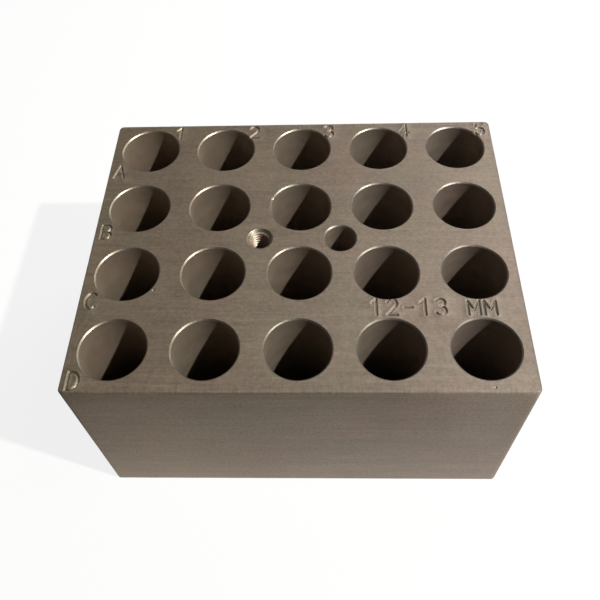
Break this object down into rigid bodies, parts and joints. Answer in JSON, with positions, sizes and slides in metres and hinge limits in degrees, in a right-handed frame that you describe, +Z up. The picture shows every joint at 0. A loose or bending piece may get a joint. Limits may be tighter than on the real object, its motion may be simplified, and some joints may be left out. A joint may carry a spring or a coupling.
{
  "type": "heating block",
  "caption": "Rectangular aluminium heating block with a grid of blind tube wells, a thermometer well and a threaded lifting hole.",
  "frame": {"origin": "middle of the base", "axes": "+X to the right along the rows of wells, +Y towards the back, where row A is, +Z up out of the mouths of the wells"},
  "size_m": [0.0952, 0.0762, 0.049],
  "materials": {
    "block": "milled, satin"
  },
  "bodies": {
    "root": {"heating_block": "block"}
  },
  "joints": []
}
